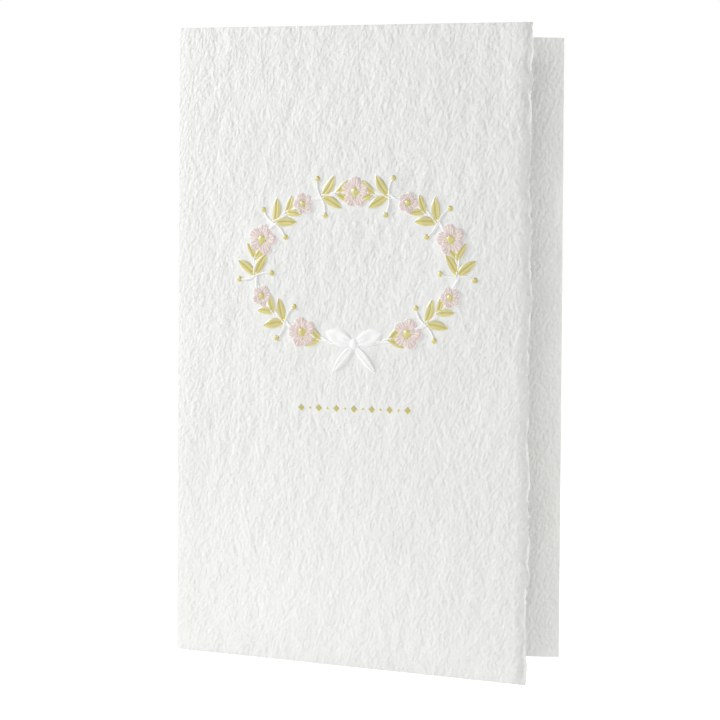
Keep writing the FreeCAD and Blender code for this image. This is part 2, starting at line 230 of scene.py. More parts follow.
BOW_LOOP = {"length": 9.5 * MM, "width": 4.8 * MM}
BOW_TAIL = {"length": 10.5 * MM, "width": 2.6 * MM}
bow_foot, _ = on_oval(0)
bow_parts = [
    (bow_foot, math.radians(20), BOW_LOOP),
    (bow_foot, math.radians(160), BOW_LOOP),
    (bow_foot, math.radians(-50), BOW_TAIL),
    (bow_foot, math.radians(230), BOW_TAIL),
]
print(len(blossoms), "blossoms,", len(leaves), "leaves,", len(berries), "berries")

# %% [markdown]
# ## Where the die pressed the sheet
#
# A die that raises a motif also flattens the paper beside it and lifts a soft shoulder round the
# shape. So the sheet needs to know how near the closest motif is. Each motif is taken as a short
# round-ended bar here, which is close enough for a shoulder of one millimetre.

# %% Bars that stand for the motifs
ROW_ABOVE_BASE = 72 * MM
ROW_PITCH = 2.75 * MM
ROW_PAIRS = 6
LOZENGE_RADIUS = 1.15 * MM
BLOSSOM_BAR = 0.8
BAR_START = 0.2
BAR_END = 0.8
BAR_HALF = 0.4

bars = []
for spot, _, kind in blossoms:
    bars.append((spot, spot, kind["reach"] + BLOSSOM_BAR * kind["radius"]))
for spot, heading, kind in [leaf[:3] for leaf in leaves] + bow_parts:
    ahead = Vector((math.cos(heading), math.sin(heading))) * kind["length"]
    bars.append((spot + BAR_START * ahead, spot + BAR_END * ahead, BAR_HALF * kind["width"]))
for spot, _ in berries:
    bars.append((spot, spot, BERRY_RADIUS))
print(len(bars), "bars stand for the motifs")

# %% Distance to the pressed motifs
PRESS_REACH = 6 * MM
OVAL_MIDDLE = 0.3
MOTIFS_WIDE = OVAL_WIDE + 2 * PRESS_REACH
MOTIFS_HIGH = 2.2 * OVAL_HIGH


def beside_bar(place, bar):
    """The distance from a place to a round-ended bar, negative inside it."""
    start, end, radius = bar
    run = end - start
    share = 0.0
    if run.length_squared:
        share = max(0.0, min(1.0, (place - start).dot(run) / run.length_squared))
    return (place - start - run * share).length - radius


def beside_stem(place):
    """About how far a place is from the oval stem's edge."""
    size = math.hypot(place.x / OVAL_WIDE, place.y / OVAL_HIGH)
    if size < OVAL_MIDDLE:
        return PRESS_REACH
    slope = math.hypot(place.x / OVAL_WIDE**2, place.y / OVAL_HIGH**2) / size
    return abs(size - 1) / slope - STEM_WIDTH / 2


def beside_row(place):
    """The distance to the ornament row, taken as one thin bar."""
    half = ROW_PAIRS * ROW_PITCH
    middle = Vector((0, ROW_ABOVE_BASE - WREATH_ABOVE_BASE))
    end = Vector((half, 0))
    return beside_bar(place, (middle - end, middle + end, BAR_HALF * LOZENGE_RADIUS))


def from_wreath(along, up):
    """A place of the front panel, measured from the middle of the wreath."""
    return Vector((along - WREATH_FROM_FOLD + FOLD_OUTSIDE, up - WREATH_ABOVE_BASE))


def beside_motif(along, up):
    """The distance to the nearest motif of the front panel, at most PRESS_REACH."""
    place = from_wreath(along, up)
    if abs(place.x) > MOTIFS_WIDE or abs(place.y) > MOTIFS_HIGH:
        return PRESS_REACH
    nearest = min(beside_bar(place, bar) for bar in bars)
    return min(nearest, beside_stem(place), beside_row(place), PRESS_REACH)


def smooth_step(value):
    """Rises from 0 to 1 with flat ends while the value goes from 0 to 1."""
    value = max(0.0, min(1.0, value))
    return value * value * (3 - 2 * value)


clear = beside_motif(WREATH_FROM_FOLD - FOLD_OUTSIDE, WREATH_ABOVE_BASE)
print("the wreath's middle is", round(clear / MM, 1), "mm clear or more")

# %% [markdown]
# ## The folded sheet
#
# A folded sheet could be drawn as a bent outline and extruded, but then its grain would have to
# be added to four different faces. Here the sheet is first a flat slab whose columns and rows
# are counted in cells, and one function then carries every point to its place: round the fold,
# along the leaning panels, out to the torn edge. Cells are small where the eye is close (the
# front), smaller still along the torn edge, and larger on the hidden inner faces.

# %% A slab of cells
CELL = 1.8 * MM
FRONT_COLUMNS = round(REACH / CELL)
FOLD_COLUMNS = 8
BACK_COLUMNS = FRONT_COLUMNS
COLUMNS = FRONT_COLUMNS + FOLD_COLUMNS + BACK_COLUMNS
ROWS = round(HEIGHT / CELL)
FRONT_CUTS = 2
BACK_CUTS = 1
RIM_CUTS = 2
TORN_COLUMNS = 2
OUTER_FACE = 0.1


def divide(bm, cuts, wanted):
    """Divides the faces whose middle answers yes."""
    faces = [face for face in bm.faces if wanted(face.calc_center_median())]
    edges = list({edge for face in faces for edge in face.edges})
    bmesh.ops.subdivide_edges(bm, edges=edges, cuts=cuts, use_grid_fill=True)


def cell_slab():
    """The unfolded sheet in cells: x counts columns, y counts rows, z is 0 outside, 1 inside."""
    bm = bmesh.new()
    bmesh.ops.create_grid(bm, x_segments=COLUMNS, y_segments=ROWS, size=0.5)
    bmesh.ops.scale(bm, vec=(COLUMNS, ROWS, 1), verts=bm.verts)
    bmesh.ops.translate(bm, vec=(COLUMNS / 2, ROWS / 2, 0), verts=bm.verts)
    outer = list(bm.faces)
    grown = bmesh.ops.extrude_face_region(bm, geom=outer, use_keep_orig=True)["geom"]
    inner = [item for item in grown if isinstance(item, bmesh.types.BMVert)]
    bmesh.ops.translate(bm, vec=(0, 0, 1), verts=inner)
    rim = [edge for edge in bm.edges if edge.verts[0].co.z != edge.verts[1].co.z]
    bmesh.ops.subdivide_edges(bm, edges=rim, cuts=RIM_CUTS, use_grid_fill=True)
    divide(bm, FRONT_CUTS, lambda m: m.x < FRONT_COLUMNS and m.z < OUTER_FACE)
    divide(bm, FRONT_CUTS, lambda m: m.x < TORN_COLUMNS and m.z > OUTER_FACE)
    divide(bm, BACK_CUTS, lambda m: m.x > FRONT_COLUMNS + FOLD_COLUMNS and m.z < OUTER_FACE)
    return bm


slab = cell_slab()
print("slab:", len(slab.faces), "faces")

# %% [markdown]
# ## The torn edge
#
# Handmade paper is torn along a ruler while damp, so its edge thins out to a feather and wanders.
# Three waves give its run, as in the measured card, and finer noise frays it. The thin rim
# curls back, and its last half millimetre turns up as a lip that catches the light. A loose flake
# stands at its foot, below a shallow notch.

# %% Run of the torn edge
TEAR_DEPTH = 1.1 * MM
TEAR_WAVES = ((0.45, 64 * MM, 0.4), (0.33, 23 * MM, 1.9), (0.22, 8.3 * MM, 0.7))
FRAY_DEPTH = 0.55 * MM
FRAY_LENGTH = 1.3 * MM
FRAY_LEAST = 0.04
FRAY_MEAN = 0.25
FRAY_FALLOFF = 0.6
FRAY_OCTAVES = 3
FRAY_LAYER = 5.5
FLAKE_UP = 2.2 * MM
FLAKE_HALF = 2.0 * MM
FLAKE_EVEN = 0.5
NOTCH_UP = 13 * MM
NOTCH_HALF = 7 * MM
NOTCH_SHARE = 0.8


def flake(up):
    """The loose flake low on the torn edge: 1 at its middle and 0 beyond it."""
    return math.exp(-(((up - FLAKE_UP) / FLAKE_HALF) ** 2))


def torn_inset(up):
    """How far the torn edge lies inside the full width at a height."""
    wave = 0.0
    for share, length, start in TEAR_WAVES:
        wave += share * math.sin(2 * math.pi * up / length + start)
    wave *= 1 - FLAKE_EVEN * flake(up)
    place = Vector((up / FRAY_LENGTH, FRAY_LAYER, 0))
    fray = FRAY_MEAN + noise.fractal(place, FRAY_FALLOFF, OCTAVE_STEP, FRAY_OCTAVES)
    fray = max(FRAY_LEAST, fray) * (1 - flake(up))
    notch = NOTCH_SHARE * math.exp(-(((up - NOTCH_UP) / NOTCH_HALF) ** 4))
    return TEAR_DEPTH * (1 + wave) / 2 + FRAY_DEPTH * max(fray, notch)


print("the torn edge starts", round(torn_inset(0) / MM, 2), "mm inside the full width")

# %% Curl and lip of the rim
RIM_CROWDING = 1.8
CURL_DEPTH = 0.6 * MM
CURL_LENGTH = 4.5 * MM
CURL_WAVE = 9 * MM
CURL_LAYER = 8.8
CURL_WANDER = 0.6
CURL_BACK = 0.85
CURL_EASE = 0.5
CURL_EASE_REACH = 40 * MM
LIP_RISE = 0.38 * MM
LIP_WIDTH = 0.45 * MM
LIP_WAVE = 5 * MM
LIP_LAYER = 2.2
LIP_MEAN = 0.5
LIP_WANDER = 1.2


def from_torn_edge(column):
    """How far a column of the front lies from the torn edge; columns crowd at the rim."""
    return REACH / FRONT_COLUMNS * (column**RIM_CROWDING if column < 1 else column)


def torn_curl(from_edge, up):
    """The curl of the thin rim, out of the panel."""
    turn = CURL_WANDER * noise.noise(Vector((up / CURL_WAVE, CURL_LAYER, 0))) - CURL_BACK
    turn += CURL_EASE * smooth_step(1 - up / CURL_EASE_REACH)
    lip = LIP_MEAN + LIP_WANDER * noise.noise(Vector((up / LIP_WAVE, LIP_LAYER, 0)))
    lip = max(0.0, lip) + flake(up)
    bend = CURL_DEPTH * turn * max(0.0, 1 - from_edge / CURL_LENGTH) ** 2
    return bend + LIP_RISE * lip * smooth_step(1 - from_edge / LIP_WIDTH)


print("the rim bends", round(torn_curl(0, HEIGHT / 2) / MM, 2), "mm at half height")

# %% [markdown]
# ## From the slab to the card
#
# The outer side of the front takes the grain, calmed and lifted where the die pressed it, and
# the inner side takes a dent behind each blossom. A displace modifier could add such heights.
# Here one function gives a point its place and its height, so that the rim, the fold and the
# grain meet without a step.

# %% Height of the front panel's two sides
SHOULDER_RISE = 0.06 * MM
SHOULDER_WIDTH = 1.1 * MM
PRESSED_GRAIN = 0.4
PRESSED_WIDTH = 2.2 * MM
DENT_DEPTH = 0.25 * MM
DENT_SPREAD = 0.8


def front_height(along, up, side):
    """How far a point of the front panel's outer (0) or inner (1) side stands out of its face."""
    if side:
        place = from_wreath(along, up)
        dent = 0.0
        for spot, _, kind in blossoms:
            dent += math.exp(-(((place - spot).length / (DENT_SPREAD * kind["reach"])) ** 2))
        return DENT_DEPTH * dent - grain(along, up, side)
    beside = beside_motif(along, up)
    calm = 1 - (1 - PRESSED_GRAIN) * smooth_step(1 - beside / PRESSED_WIDTH)
    shoulder = SHOULDER_RISE * smooth_step(1 - beside / SHOULDER_WIDTH)
    return shoulder + calm * grain(along, up, side)


middle_dent = front_height(WREATH_FROM_FOLD - FOLD_OUTSIDE, WREATH_ABOVE_BASE + OVAL_HIGH, 1)
print("inside, the top blossom dents the paper", round(middle_dent / MM, 2), "mm")

# %% Carry the slab to its folded place
FRONT_ANGLE = 1.5 * math.pi
TEAR_BLEND = 9 * MM
FEATHER_LENGTH = 2.6 * MM
FEATHER_TIP = 0.2 * MM
FOLD_CALM = 4 * MM
COCKLE_CALM = 3 * FOLD_CALM
FOLD_EASE = 0.2 * MM
FOLD_EASE_REACH = 5 * MM
RIM_CALM = 1 * MM
RIM_GRAIN = 0.3
INNER_GRAIN = 0.6
EDGE_ROUND = 0.08 * MM


def folded(cell):
    """The place in space of a point of the slab."""
    column, row, depth = cell
    up = HEIGHT * row / ROWS
    half = THICKNESS / 2
    swell = 0.0
    side = 0 if depth < 0.5 else 1
    on_face = depth in (0.0, 1.0)
    if column < FRONT_COLUMNS:
        angle = FRONT_ANGLE
        run = Vector((1, 0, 0))
        from_edge = from_torn_edge(column)
        along = REACH - from_edge
        along -= torn_inset(up) * smooth_step(1 - from_edge / TEAR_BLEND)
        half -= (THICKNESS - FEATHER_TIP) / 2 * max(0.0, 1 - from_edge / FEATHER_LENGTH)
        swell += torn_curl(from_edge, up)
        if on_face:
            rim_calm = smooth_step(from_edge / RIM_CALM + RIM_GRAIN)
            swell += front_height(along, up, side) * smooth_step(along / FOLD_CALM) * rim_calm
    elif column <= FRONT_COLUMNS + FOLD_COLUMNS:
        angle = FRONT_ANGLE - FOLD_SWEEP * (column - FRONT_COLUMNS) / FOLD_COLUMNS
        run = Vector((1, 0, 0))
        along = 0.0
    else:
        angle = FRONT_ANGLE - FOLD_SWEEP
        run = Vector((math.cos(OPENING), math.sin(OPENING), 0))
        along = REACH * (column - FRONT_COLUMNS - FOLD_COLUMNS) / BACK_COLUMNS
        if on_face:
            rise = grain(along + REACH, up, side)
            swell += (-INNER_GRAIN * rise if side else rise) * smooth_step(along / FOLD_CALM)
    if side == 0:
        swell -= FOLD_EASE * max(0.0, 1 - along / FOLD_EASE_REACH) ** 2
    # The back panel reads its swell two panels further on, so it differs from the front's.
    further = 0.0 if column <= FRONT_COLUMNS + FOLD_COLUMNS / 2 else 2 * REACH
    swell += cockle(along + further, up) * smooth_step(along / COCKLE_CALM)
    if on_face:
        if row in (0.0, ROWS):
            up += EDGE_ROUND if row == 0 else -EDGE_ROUND
        if column in (0.0, COLUMNS):
            along -= EDGE_ROUND
    out = FOLD_MIDDLE + (1 - 2 * depth) * half + swell
    place = FOLD_CENTRE + run * along + out * Vector((math.cos(angle), math.sin(angle), 0))
    return place + Vector((-up * math.tan(LEAN), 0, up))


corner = folded(Vector((0, 0, 0)))
print("the front's lower torn corner in mm:", [round(side / MM, 2) for side in corner])

# %% [markdown]
# ## What the finish has to know of the sheet
#
# Two numbers go with each point of the sheet: how much the die smoothed it, and how thin it is.
# The finish reads them later to calm the grain and to paint shade on the torn rim, as a grey.
# Cut edges stay crisp: an edge between faces that meet at more than CRISP_ANGLE is marked sharp.

# %% Numbers for the finish, and the finished sheet
INNER_CALM = 0.7
BACK_CALM = 0.3
# How far from the torn edge the rim's painted shade reaches.
RIM_SHADE_REACH = 4 * MM
CRISP_ANGLE = math.radians(42)


def pressed_share(cell):
    """How much the die smoothed a point of the slab, from 0 to 1."""
    column, row, depth = cell
    if depth > 0.5:
        return INNER_CALM if column < FRONT_COLUMNS else BACK_CALM
    if column > FRONT_COLUMNS:
        return 0.0
    beside = beside_motif(REACH * (1 - column / FRONT_COLUMNS), HEIGHT * row / ROWS)
    return smooth_step(1 - beside / PRESSED_WIDTH)


def rim_shade_share(cell):
    """How much painted shade the thin torn rim gets at a point of the slab, from 0 to 1."""
    if cell.x > FRONT_COLUMNS:
        return 0.0
    return smooth_step(1 - from_torn_edge(cell.x) / RIM_SHADE_REACH)


def add_object(name, data):
    """A new object at the origin, linked to the scene."""
    made = bpy.data.objects.new(name, data)
    bpy.context.scene.collection.objects.link(made)
    return made


def finish_piece(name, bm, *materials):
    """Makes the bmesh an object that rides on the card, and says how large it is."""
    bmesh.ops.recalc_face_normals(bm, faces=bm.faces)
    for face in bm.faces:
        face.smooth = True
    mesh = bpy.data.meshes.new(name)
    bm.to_mesh(mesh)
    bm.free()
    for material in materials:
        mesh.materials.append(material)
    piece = add_object(name, mesh)
    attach(piece, "root")
    mesh.calc_loop_triangles()
    print(name, "has", len(mesh.loop_triangles), "triangles")
    return piece


# Each point stores how pressed it is, and how much painted shade the thin torn rim gets there.
pressed_layer = slab.verts.layers.float.new("pressed")
rim_shade_layer = slab.verts.layers.float.new("thin")
for vertex in slab.verts:
    vertex[pressed_layer] = pressed_share(vertex.co)
    vertex[rim_shade_layer] = rim_shade_share(vertex.co)
    vertex.co = folded(vertex.co)
for edge in slab.edges:
    edge.smooth = edge.calc_face_angle() < CRISP_ANGLE

sheet = finish_piece("handmade_sheet", slab)
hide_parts("folded_card")

# %% [markdown]
# ## Domes for the pressed motifs
#
# Leaves, petals and bow are low domes: a grid is laid over the outline, each point is lifted by
# the shape's own relief, and the rim is drawn down into the paper. Two numbers are stored with
# each printed point: ink says how far it is inside the printed field, because the print stops a
# hair short of the pressed shape, and the pool number says where shade is painted: in creases and
# towards the rim, partly standing for ink that would gather there.

# %% Dome helpers
ROOT = 0.2 * MM
INK_MARGIN = 0.13 * MM
INK_EDGE = 0.2 * MM
MERGE = 0.004 * MM


def printed_mesh():
    """An empty bmesh with its ink layer and its pool layer of painted shade."""
    bm = bmesh.new()
    ink = bm.verts.layers.float.new("ink")
    ink_pool_and_shade = bm.verts.layers.float.new("ink_pool_and_shade")
    return bm, ink, ink_pool_and_shade


def inked(from_rim):
    """How much ink lies at a distance from a shape's rim, from 0 to 1."""
    return max(0.0, min(1.0, (from_rim - INK_MARGIN) / INK_EDGE))


def close_dome(bm):
    """Draws the open rim of a dome down into the paper and closes it below."""
    rim = [edge for edge in bm.edges if edge.is_boundary]
    grown = bmesh.ops.extrude_edge_only(bm, edges=rim)["geom"]
    foot = [item for item in grown if isinstance(item, bmesh.types.BMVert)]
    for vertex in foot:
        vertex.co.z = -ROOT
    edges = [item for item in grown if isinstance(item, bmesh.types.BMEdge)]
    bmesh.ops.holes_fill(bm, edges=edges, sides=0)


def into(whole, part, matrix):
    """Adds a finished part to a whole, moved by a matrix, and empties the part."""
    part.transform(matrix)
    mesh = bpy.data.meshes.new("part")
    part.to_mesh(mesh)
    part.free()
    whole.from_mesh(mesh)
    bpy.data.meshes.remove(mesh)


def flat_turn(spot, heading):
    """A matrix that turns a flat shape and sets it down at a spot of the drawing."""
    return Matrix.Translation((spot.x, spot.y, 0)) @ Matrix.Rotation(heading, 4, "Z")


def onto_panel(bm, matrix):
    """Carries a finished drawing to the front panel and lets it follow the paper's swell."""
    bm.transform(matrix)
    for vertex in bm.verts:
        along = vertex.co.x - FOLD_CENTRE.x + vertex.co.z * math.tan(LEAN)
        vertex.co.y -= cockle(along, vertex.co.z)


print("print stops", round(INK_MARGIN / MM, 2), "mm short of a shape's rim")

# %% [markdown]
# ## Leaves
#
# A real leaf here is a lens of two arcs with a pressed midrib and faint side veins. It could be a
# scaled sphere, but a grid keeps its points in rows along the leaf, so the veins can follow them.

# %% Lenses, for leaves and for the bow
CROWN_POWER = 3
CROWN_SOFT = 0.6
END_STEEP = 2.4
END_SOFT = 0.7
FADE_STEEP = 2.5
FADE_POWER = 4


def lens_half(x, length, width):
    """Half the width of a lens at a distance from its foot."""
    radius = (length**2 + width**2) / (4 * width)
    return math.sqrt(max(0.0, radius**2 - (x - length / 2) ** 2)) - (radius - width / 2)


def lens_place(flat, length, width):
    """From a grid point: the way along a lens, the share of its half width, and that half."""
    x = length * (0.5 - 0.5 * math.cos(math.pi * (flat.x + 0.5)))
    return x, 2 * flat.y, lens_half(x, length, width)


def dome_rise(share, half, width):
    """The dome's height from 0 to 1 at a share of the half width, lower towards thin ends."""
    crown = (1 - abs(share) ** CROWN_POWER) ** CROWN_SOFT
    return crown * min(1.0, END_STEEP * half / width) ** END_SOFT


def dome_fade(share, half, width):
    """Lets creases run out towards a lens's rim and its ends."""
    return smooth_step(FADE_STEEP * half / width) * (1 - share**FADE_POWER)


print("a leaf is widest at", round(LARGE_LEAF["length"] / 2 / MM, 1), "mm from its foot")

# %% Leaf domes
LEAF_RELIEF = 0.45 * MM
LEAF_ALONG = 22
LEAF_ACROSS = 10
LEAF_BEND = 0.35 * MM
RIB_WIDTH = 0.22 * MM
RIB_DEPTH = 0.16 * MM
VEIN_PITCH = 1.05 * MM
VEIN_DEPTH = 0.035 * MM
VEIN_SLANT = 0.9
# Painted shade, partly ink gathering: darker towards the leaf's rim and along its midrib.
LEAF_POOL_SHADE_FROM = 0.5
LEAF_POOL_SHADE_OVER = 0.4


def leaf_dome(kind, side):
    """One leaf with its foot at the origin and its tip along +X."""
    bm, ink, ink_pool_and_shade = printed_mesh()
    bmesh.ops.create_grid(bm, x_segments=LEAF_ALONG, y_segments=LEAF_ACROSS, size=0.5)
    length, width = kind["length"], kind["width"]
    for vertex in bm.verts:
        x, share, half = lens_place(vertex.co, length, width)
        y = share * half
        rib = math.exp(-((y / RIB_WIDTH) ** 2))
        vein = 1 + math.cos(2 * math.pi * (x - VEIN_SLANT * abs(y)) / VEIN_PITCH)
        rise = LEAF_RELIEF * dome_rise(share, half, width)
        rise -= dome_fade(share, half, width) * (RIB_DEPTH * rib + VEIN_DEPTH * vein)
        vertex[ink] = inked(half - abs(y))
        # Painted shade towards the rim and in the midrib, partly standing for ink that gathers
        # there.
        vertex[ink_pool_and_shade] = max(smooth_step((abs(share) - LEAF_POOL_SHADE_FROM) / LEAF_POOL_SHADE_OVER), rib)
        bend = side * LEAF_BEND * math.sin(math.pi * x / length)
        vertex.co = Vector((x, y - bend, rise))
    bmesh.ops.remove_doubles(bm, verts=bm.verts, dist=MERGE)
    close_dome(bm)
    return bm


print("a leaf has", round(LARGE_LEAF["length"] / VEIN_PITCH), "side veins along it")

# %% [markdown]
# ## Blossoms
#
# Each blossom has five round petals, cupped towards the rim, and each lies a little over the
# next, as petals do. A smaller ring of five fills the gaps near the middle. A grid bent to a disc
# gives even cells without a crowded pole. Fine wrinkles run out from the middle.

# %% Petal domes
PETALS = 5
INNER_SHARE = 0.62
INNER_LIFT = 0.02 * MM
PETAL_RELIEF = 0.5 * MM
PETAL_CELLS = 16
PETAL_LAP = 0.12 * MM
PETAL_SOFT = 0.55
PETAL_POWER = 5
LAP_POWER = 6
CUP_MIDDLE = 0.45
CUP_RIM = 0.55
RUFFLE_DEPTH = 0.09
RUFFLE_PITCH = 2.6
WRINKLES = 23
WRINKLE_DEPTH = 0.13 * MM
WRINKLE_WANDER = 2
WRINKLE_STEEP = 2
WRINKLE_START = 0.4
INK_WEAR = 0.8
WEAR_CONTRAST = 2
# Painted shade, partly ink gathering: darker towards a petal's rim and in its wrinkles' hollows.
PETAL_POOL_SHADE_FROM = 0.6
PETAL_POOL_SHADE_OVER = 0.3
CREASE_POOL_SHADE = 0.9


def petal_dome(kind, seed, lift=0.0):
    """One petal of a blossom round the origin, pointing along +Y."""
    bm, ink, ink_pool_and_shade = printed_mesh()
    bmesh.ops.create_grid(bm, x_segments=PETAL_CELLS, y_segments=PETAL_CELLS, size=1)
    radius, reach = kind["radius"], kind["reach"]
    for vertex in bm.verts:
        u, v = vertex.co.x, vertex.co.y
        across = u * math.sqrt(1 - v * v / 2)
        along = v * math.sqrt(1 - u * u / 2)
        share = min(1.0, math.hypot(across, along))
        wave = noise.noise(Vector((RUFFLE_PITCH * across, RUFFLE_PITCH * along, seed)))
        ruffle = 1 + RUFFLE_DEPTH * wave
        x = radius * across * ruffle
        y = reach + radius * along * ruffle
        from_middle = math.hypot(x, y) / (reach + radius)
        cup = lift + PETAL_RELIEF * (CUP_MIDDLE + CUP_RIM * from_middle)
        rise = cup * (1 - share**PETAL_POWER) ** PETAL_SOFT
        rise += PETAL_LAP * across * (1 - share**LAP_POWER)
        wander = WRINKLE_WANDER * noise.noise(Vector((x / MM, y / MM, seed)))
        wrinkle = math.cos(WRINKLES * math.atan2(x, y) + wander)
        fade = smooth_step(WRINKLE_STEEP * from_middle - WRINKLE_START)
        rise += WRINKLE_DEPTH * wrinkle * (1 - share**FADE_POWER) * fade
        patch = smooth_step(WEAR_CONTRAST * noise.noise(Vector((x, y, MM * seed)) / MM))
        # Painted shade in the wrinkles' hollows, partly standing for ink that gathers there.
        crease = CREASE_POOL_SHADE * (0.5 - 0.5 * wrinkle) ** 2
        vertex[ink] = inked((1 - share) * radius) * (1 - INK_WEAR * smooth_step(wrinkle) * patch)
        vertex[ink_pool_and_shade] = max(smooth_step((share - PETAL_POOL_SHADE_FROM) / PETAL_POOL_SHADE_OVER), crease)
        vertex.co = Vector((x, y, max(rise, 0.0)))
    close_dome(bm)
    return bm


across_blossom = 2 * (LARGE_BLOSSOM["reach"] + LARGE_BLOSSOM["radius"])
print("a large blossom is about", round(across_blossom / MM, 1), "mm across")

# %% [markdown]
# ## Buttons, berries and lozenges
#
# The gold middles are pressed with a rough die and stand proud of the petals, ringed by small
# beads. Berries are plain domes on short white stalks. Lozenges with dots between them make the
# ornament row below the wreath.

# %% Round gold parts
ROUGH_DEPTH = 0.12 * MM
ROUGH_PITCH = 4.3
INK_LINE = 0.1
# Painted shade towards a round dome's foot, partly standing for ink gathered there.
ROUND_POOL_SHADE = 1.2
LOZENGE_TOP = 0.8
LOZENGE_EDGE = 0.08 * MM
LOZENGE_POOL = 0.7


def round_dome(radius, relief, divisions, rough=0.0, seed=0.0):
    """The upper part of a ball, flattened to the relief, with its rim in the paper."""
    bm, ink, ink_pool_and_shade = printed_mesh()
    bmesh.ops.create_icosphere(bm, subdivisions=divisions, radius=1)
    for vertex in bm.verts:
        bump = rough * noise.noise(vertex.co * ROUGH_PITCH + Vector((seed, 0, 0)))
        vertex[ink] = 1.0 if vertex.co.z > INK_LINE else 0.0
        # Painted shade, darker towards the dome's foot.
        vertex[ink_pool_and_shade] = smooth_step(ROUND_POOL_SHADE - ROUND_POOL_SHADE * vertex.co.z)
        rise = relief * vertex.co.z if vertex.co.z > 0 else ROOT * vertex.co.z
        vertex.co = Vector((radius * vertex.co.x, radius * vertex.co.y, rise + bump))
    return bm


def lozenge_dome(radius, relief):
    """A four-sided lozenge with bevelled upper edges."""
    bm, ink, ink_pool_and_shade = printed_mesh()
    bmesh.ops.create_cone(
        bm, cap_ends=True, segments=4, radius1=radius, radius2=LOZENGE_TOP * radius,
        depth=relief + ROOT,
    )
    bmesh.ops.translate(bm, vec=(0, 0, (relief - ROOT) / 2), verts=bm.verts)
    top = [edge for edge in bm.edges if min(v.co.z for v in edge.verts) > 0]
    bmesh.ops.bevel(
        bm, geom=top, offset=LOZENGE_EDGE, affect="EDGES", segments=3, profile=0.5, material=-1
    )
    for vertex in bm.verts:
        vertex[ink] = 1.0
        vertex[ink_pool_and_shade] = LOZENGE_POOL
    return bm


print("buttons stand", round((BUTTON_RELIEF - PETAL_RELIEF) / MM, 2), "mm proud of the petals")

# %% Blossoms with their buttons and beads
BUTTON_BEADS = 9
BEAD_RADIUS = 0.3 * MM
BEAD_RELIEF = 0.9 * BUTTON_RELIEF
SEED_STEP = 3.0
INNER_SEED = 7

petals, _, _ = printed_mesh()
gold, _, _ = printed_mesh()
for number, (spot, heading, kind) in enumerate(blossoms):
    inner_kind = {"radius": INNER_SHARE * kind["radius"], "reach": INNER_SHARE * kind["reach"]}
    for turn in range(PETALS):
        seed = SEED_STEP * number + turn
        lie = flat_turn(spot, heading + 2 * math.pi * turn / PETALS)
        into(petals, petal_dome(kind, seed), lie)
        lie = flat_turn(spot, heading + 2 * math.pi * (turn + 0.5) / PETALS)
        into(petals, petal_dome(inner_kind, seed + INNER_SEED, INNER_LIFT), lie)
    button = round_dome(kind["button"], BUTTON_RELIEF, divisions=3, rough=ROUGH_DEPTH, seed=number)
    into(gold, button, flat_turn(spot, 0))
    for bead in range(BUTTON_BEADS):
        angle = heading + 2 * math.pi * bead / BUTTON_BEADS
        ring = spot + kind["button"] * Vector((math.cos(angle), math.sin(angle)))
        into(gold, round_dome(BEAD_RADIUS, BEAD_RELIEF, divisions=1), flat_turn(ring, angle))
print("petals in", len(petals.faces), "faces")

# %% Leaves, berries and the ornament row
BERRY_RELIEF = 0.45 * MM
ROW_RELIEF = 0.2 * MM
ROW_DOT_RADIUS = 0.4 * MM

for spot, heading, kind, side in leaves:
    into(gold, leaf_dome(kind, side), flat_turn(spot, heading))
for spot, _ in berries:
    into(gold, round_dome(BERRY_RADIUS, BERRY_RELIEF, divisions=2), flat_turn(spot, 0))
onto_panel(petals, WREATH)
onto_panel(gold, WREATH)

row, _, _ = printed_mesh()
for place in range(-ROW_PAIRS, ROW_PAIRS + 1):
    if (place + ROW_PAIRS) % 2 == 0:
        motif = lozenge_dome(LOZENGE_RADIUS, ROW_RELIEF)
    else:
        motif = round_dome(ROW_DOT_RADIUS, ROW_RELIEF, divisions=2)
    into(row, motif, flat_turn(Vector((place * ROW_PITCH, 0)), 0))
onto_panel(row, panel_matrix(WREATH_FROM_FOLD, ROW_ABOVE_BASE))
print("gold in", len(gold.faces), "faces, the row in", len(row.faces))

# %% [markdown]
# ## The white stem and bow
#
# The stem is not printed: it is only pressed, so it shows as a smooth white ridge, painted
# whiter than the sheet as a painted highlight. Two thin shoots twine along the oval. A ring spun
# from a small circle gives each shoot, and its points are then moved from the ring to the oval
# and swung from side to side. A stalk is a thin bowed cone, and the bow's loops and tails are
# lenses like the leaves, with folds out of the knot.

# %% Twined stem and stalks
SHOOT_RADIUS = 0.42 * MM
SHOOT_SIDES = 10
SHOOT_SWING = 0.42 * MM
SHOOT_TWISTS = 2 * PLACES
SHOOT_STEPS = 300
SHOOT_OVER = 0.2 * SHOOT_RADIUS
STEM_RELIEF = 0.3 * MM
STALK_RADIUS = 0.28 * MM
STALK_TIP = 0.7 * STALK_RADIUS
STALK_SIDES = 8
STALK_CUTS = 7
STALK_LIFT = 0.12 * MM
STALK_BOW = 0.5 * MM


def shoot(phase):
    """One of the two shoots, swinging across the oval."""
    bm = bmesh.new()
    bmesh.ops.create_circle(bm, segments=SHOOT_SIDES, radius=SHOOT_RADIUS)
    bm.transform(Matrix.Translation((1, 0, 0)) @ Matrix.Rotation(math.pi / 2, 4, "X"))
    bmesh.ops.spin(
        bm, geom=bm.verts[:] + bm.edges[:], axis=(0, 0, 1), cent=(0, 0, 0),
        angle=2 * math.pi, steps=SHOOT_STEPS, use_merge=True,
    )
    for vertex in bm.verts:
        share = math.atan2(vertex.co.y, vertex.co.x) / (2 * math.pi)
        beside = math.hypot(vertex.co.x, vertex.co.y) - 1
        wave = 2 * math.pi * SHOOT_TWISTS * share + phase
        spot, _ = on_oval(share, beside + SHOOT_SWING * math.sin(wave))
        rise = vertex.co.z + STEM_RELIEF - SHOOT_RADIUS + SHOOT_OVER * math.cos(wave)
        vertex.co = Vector((spot.x, spot.y, rise))
    return bm


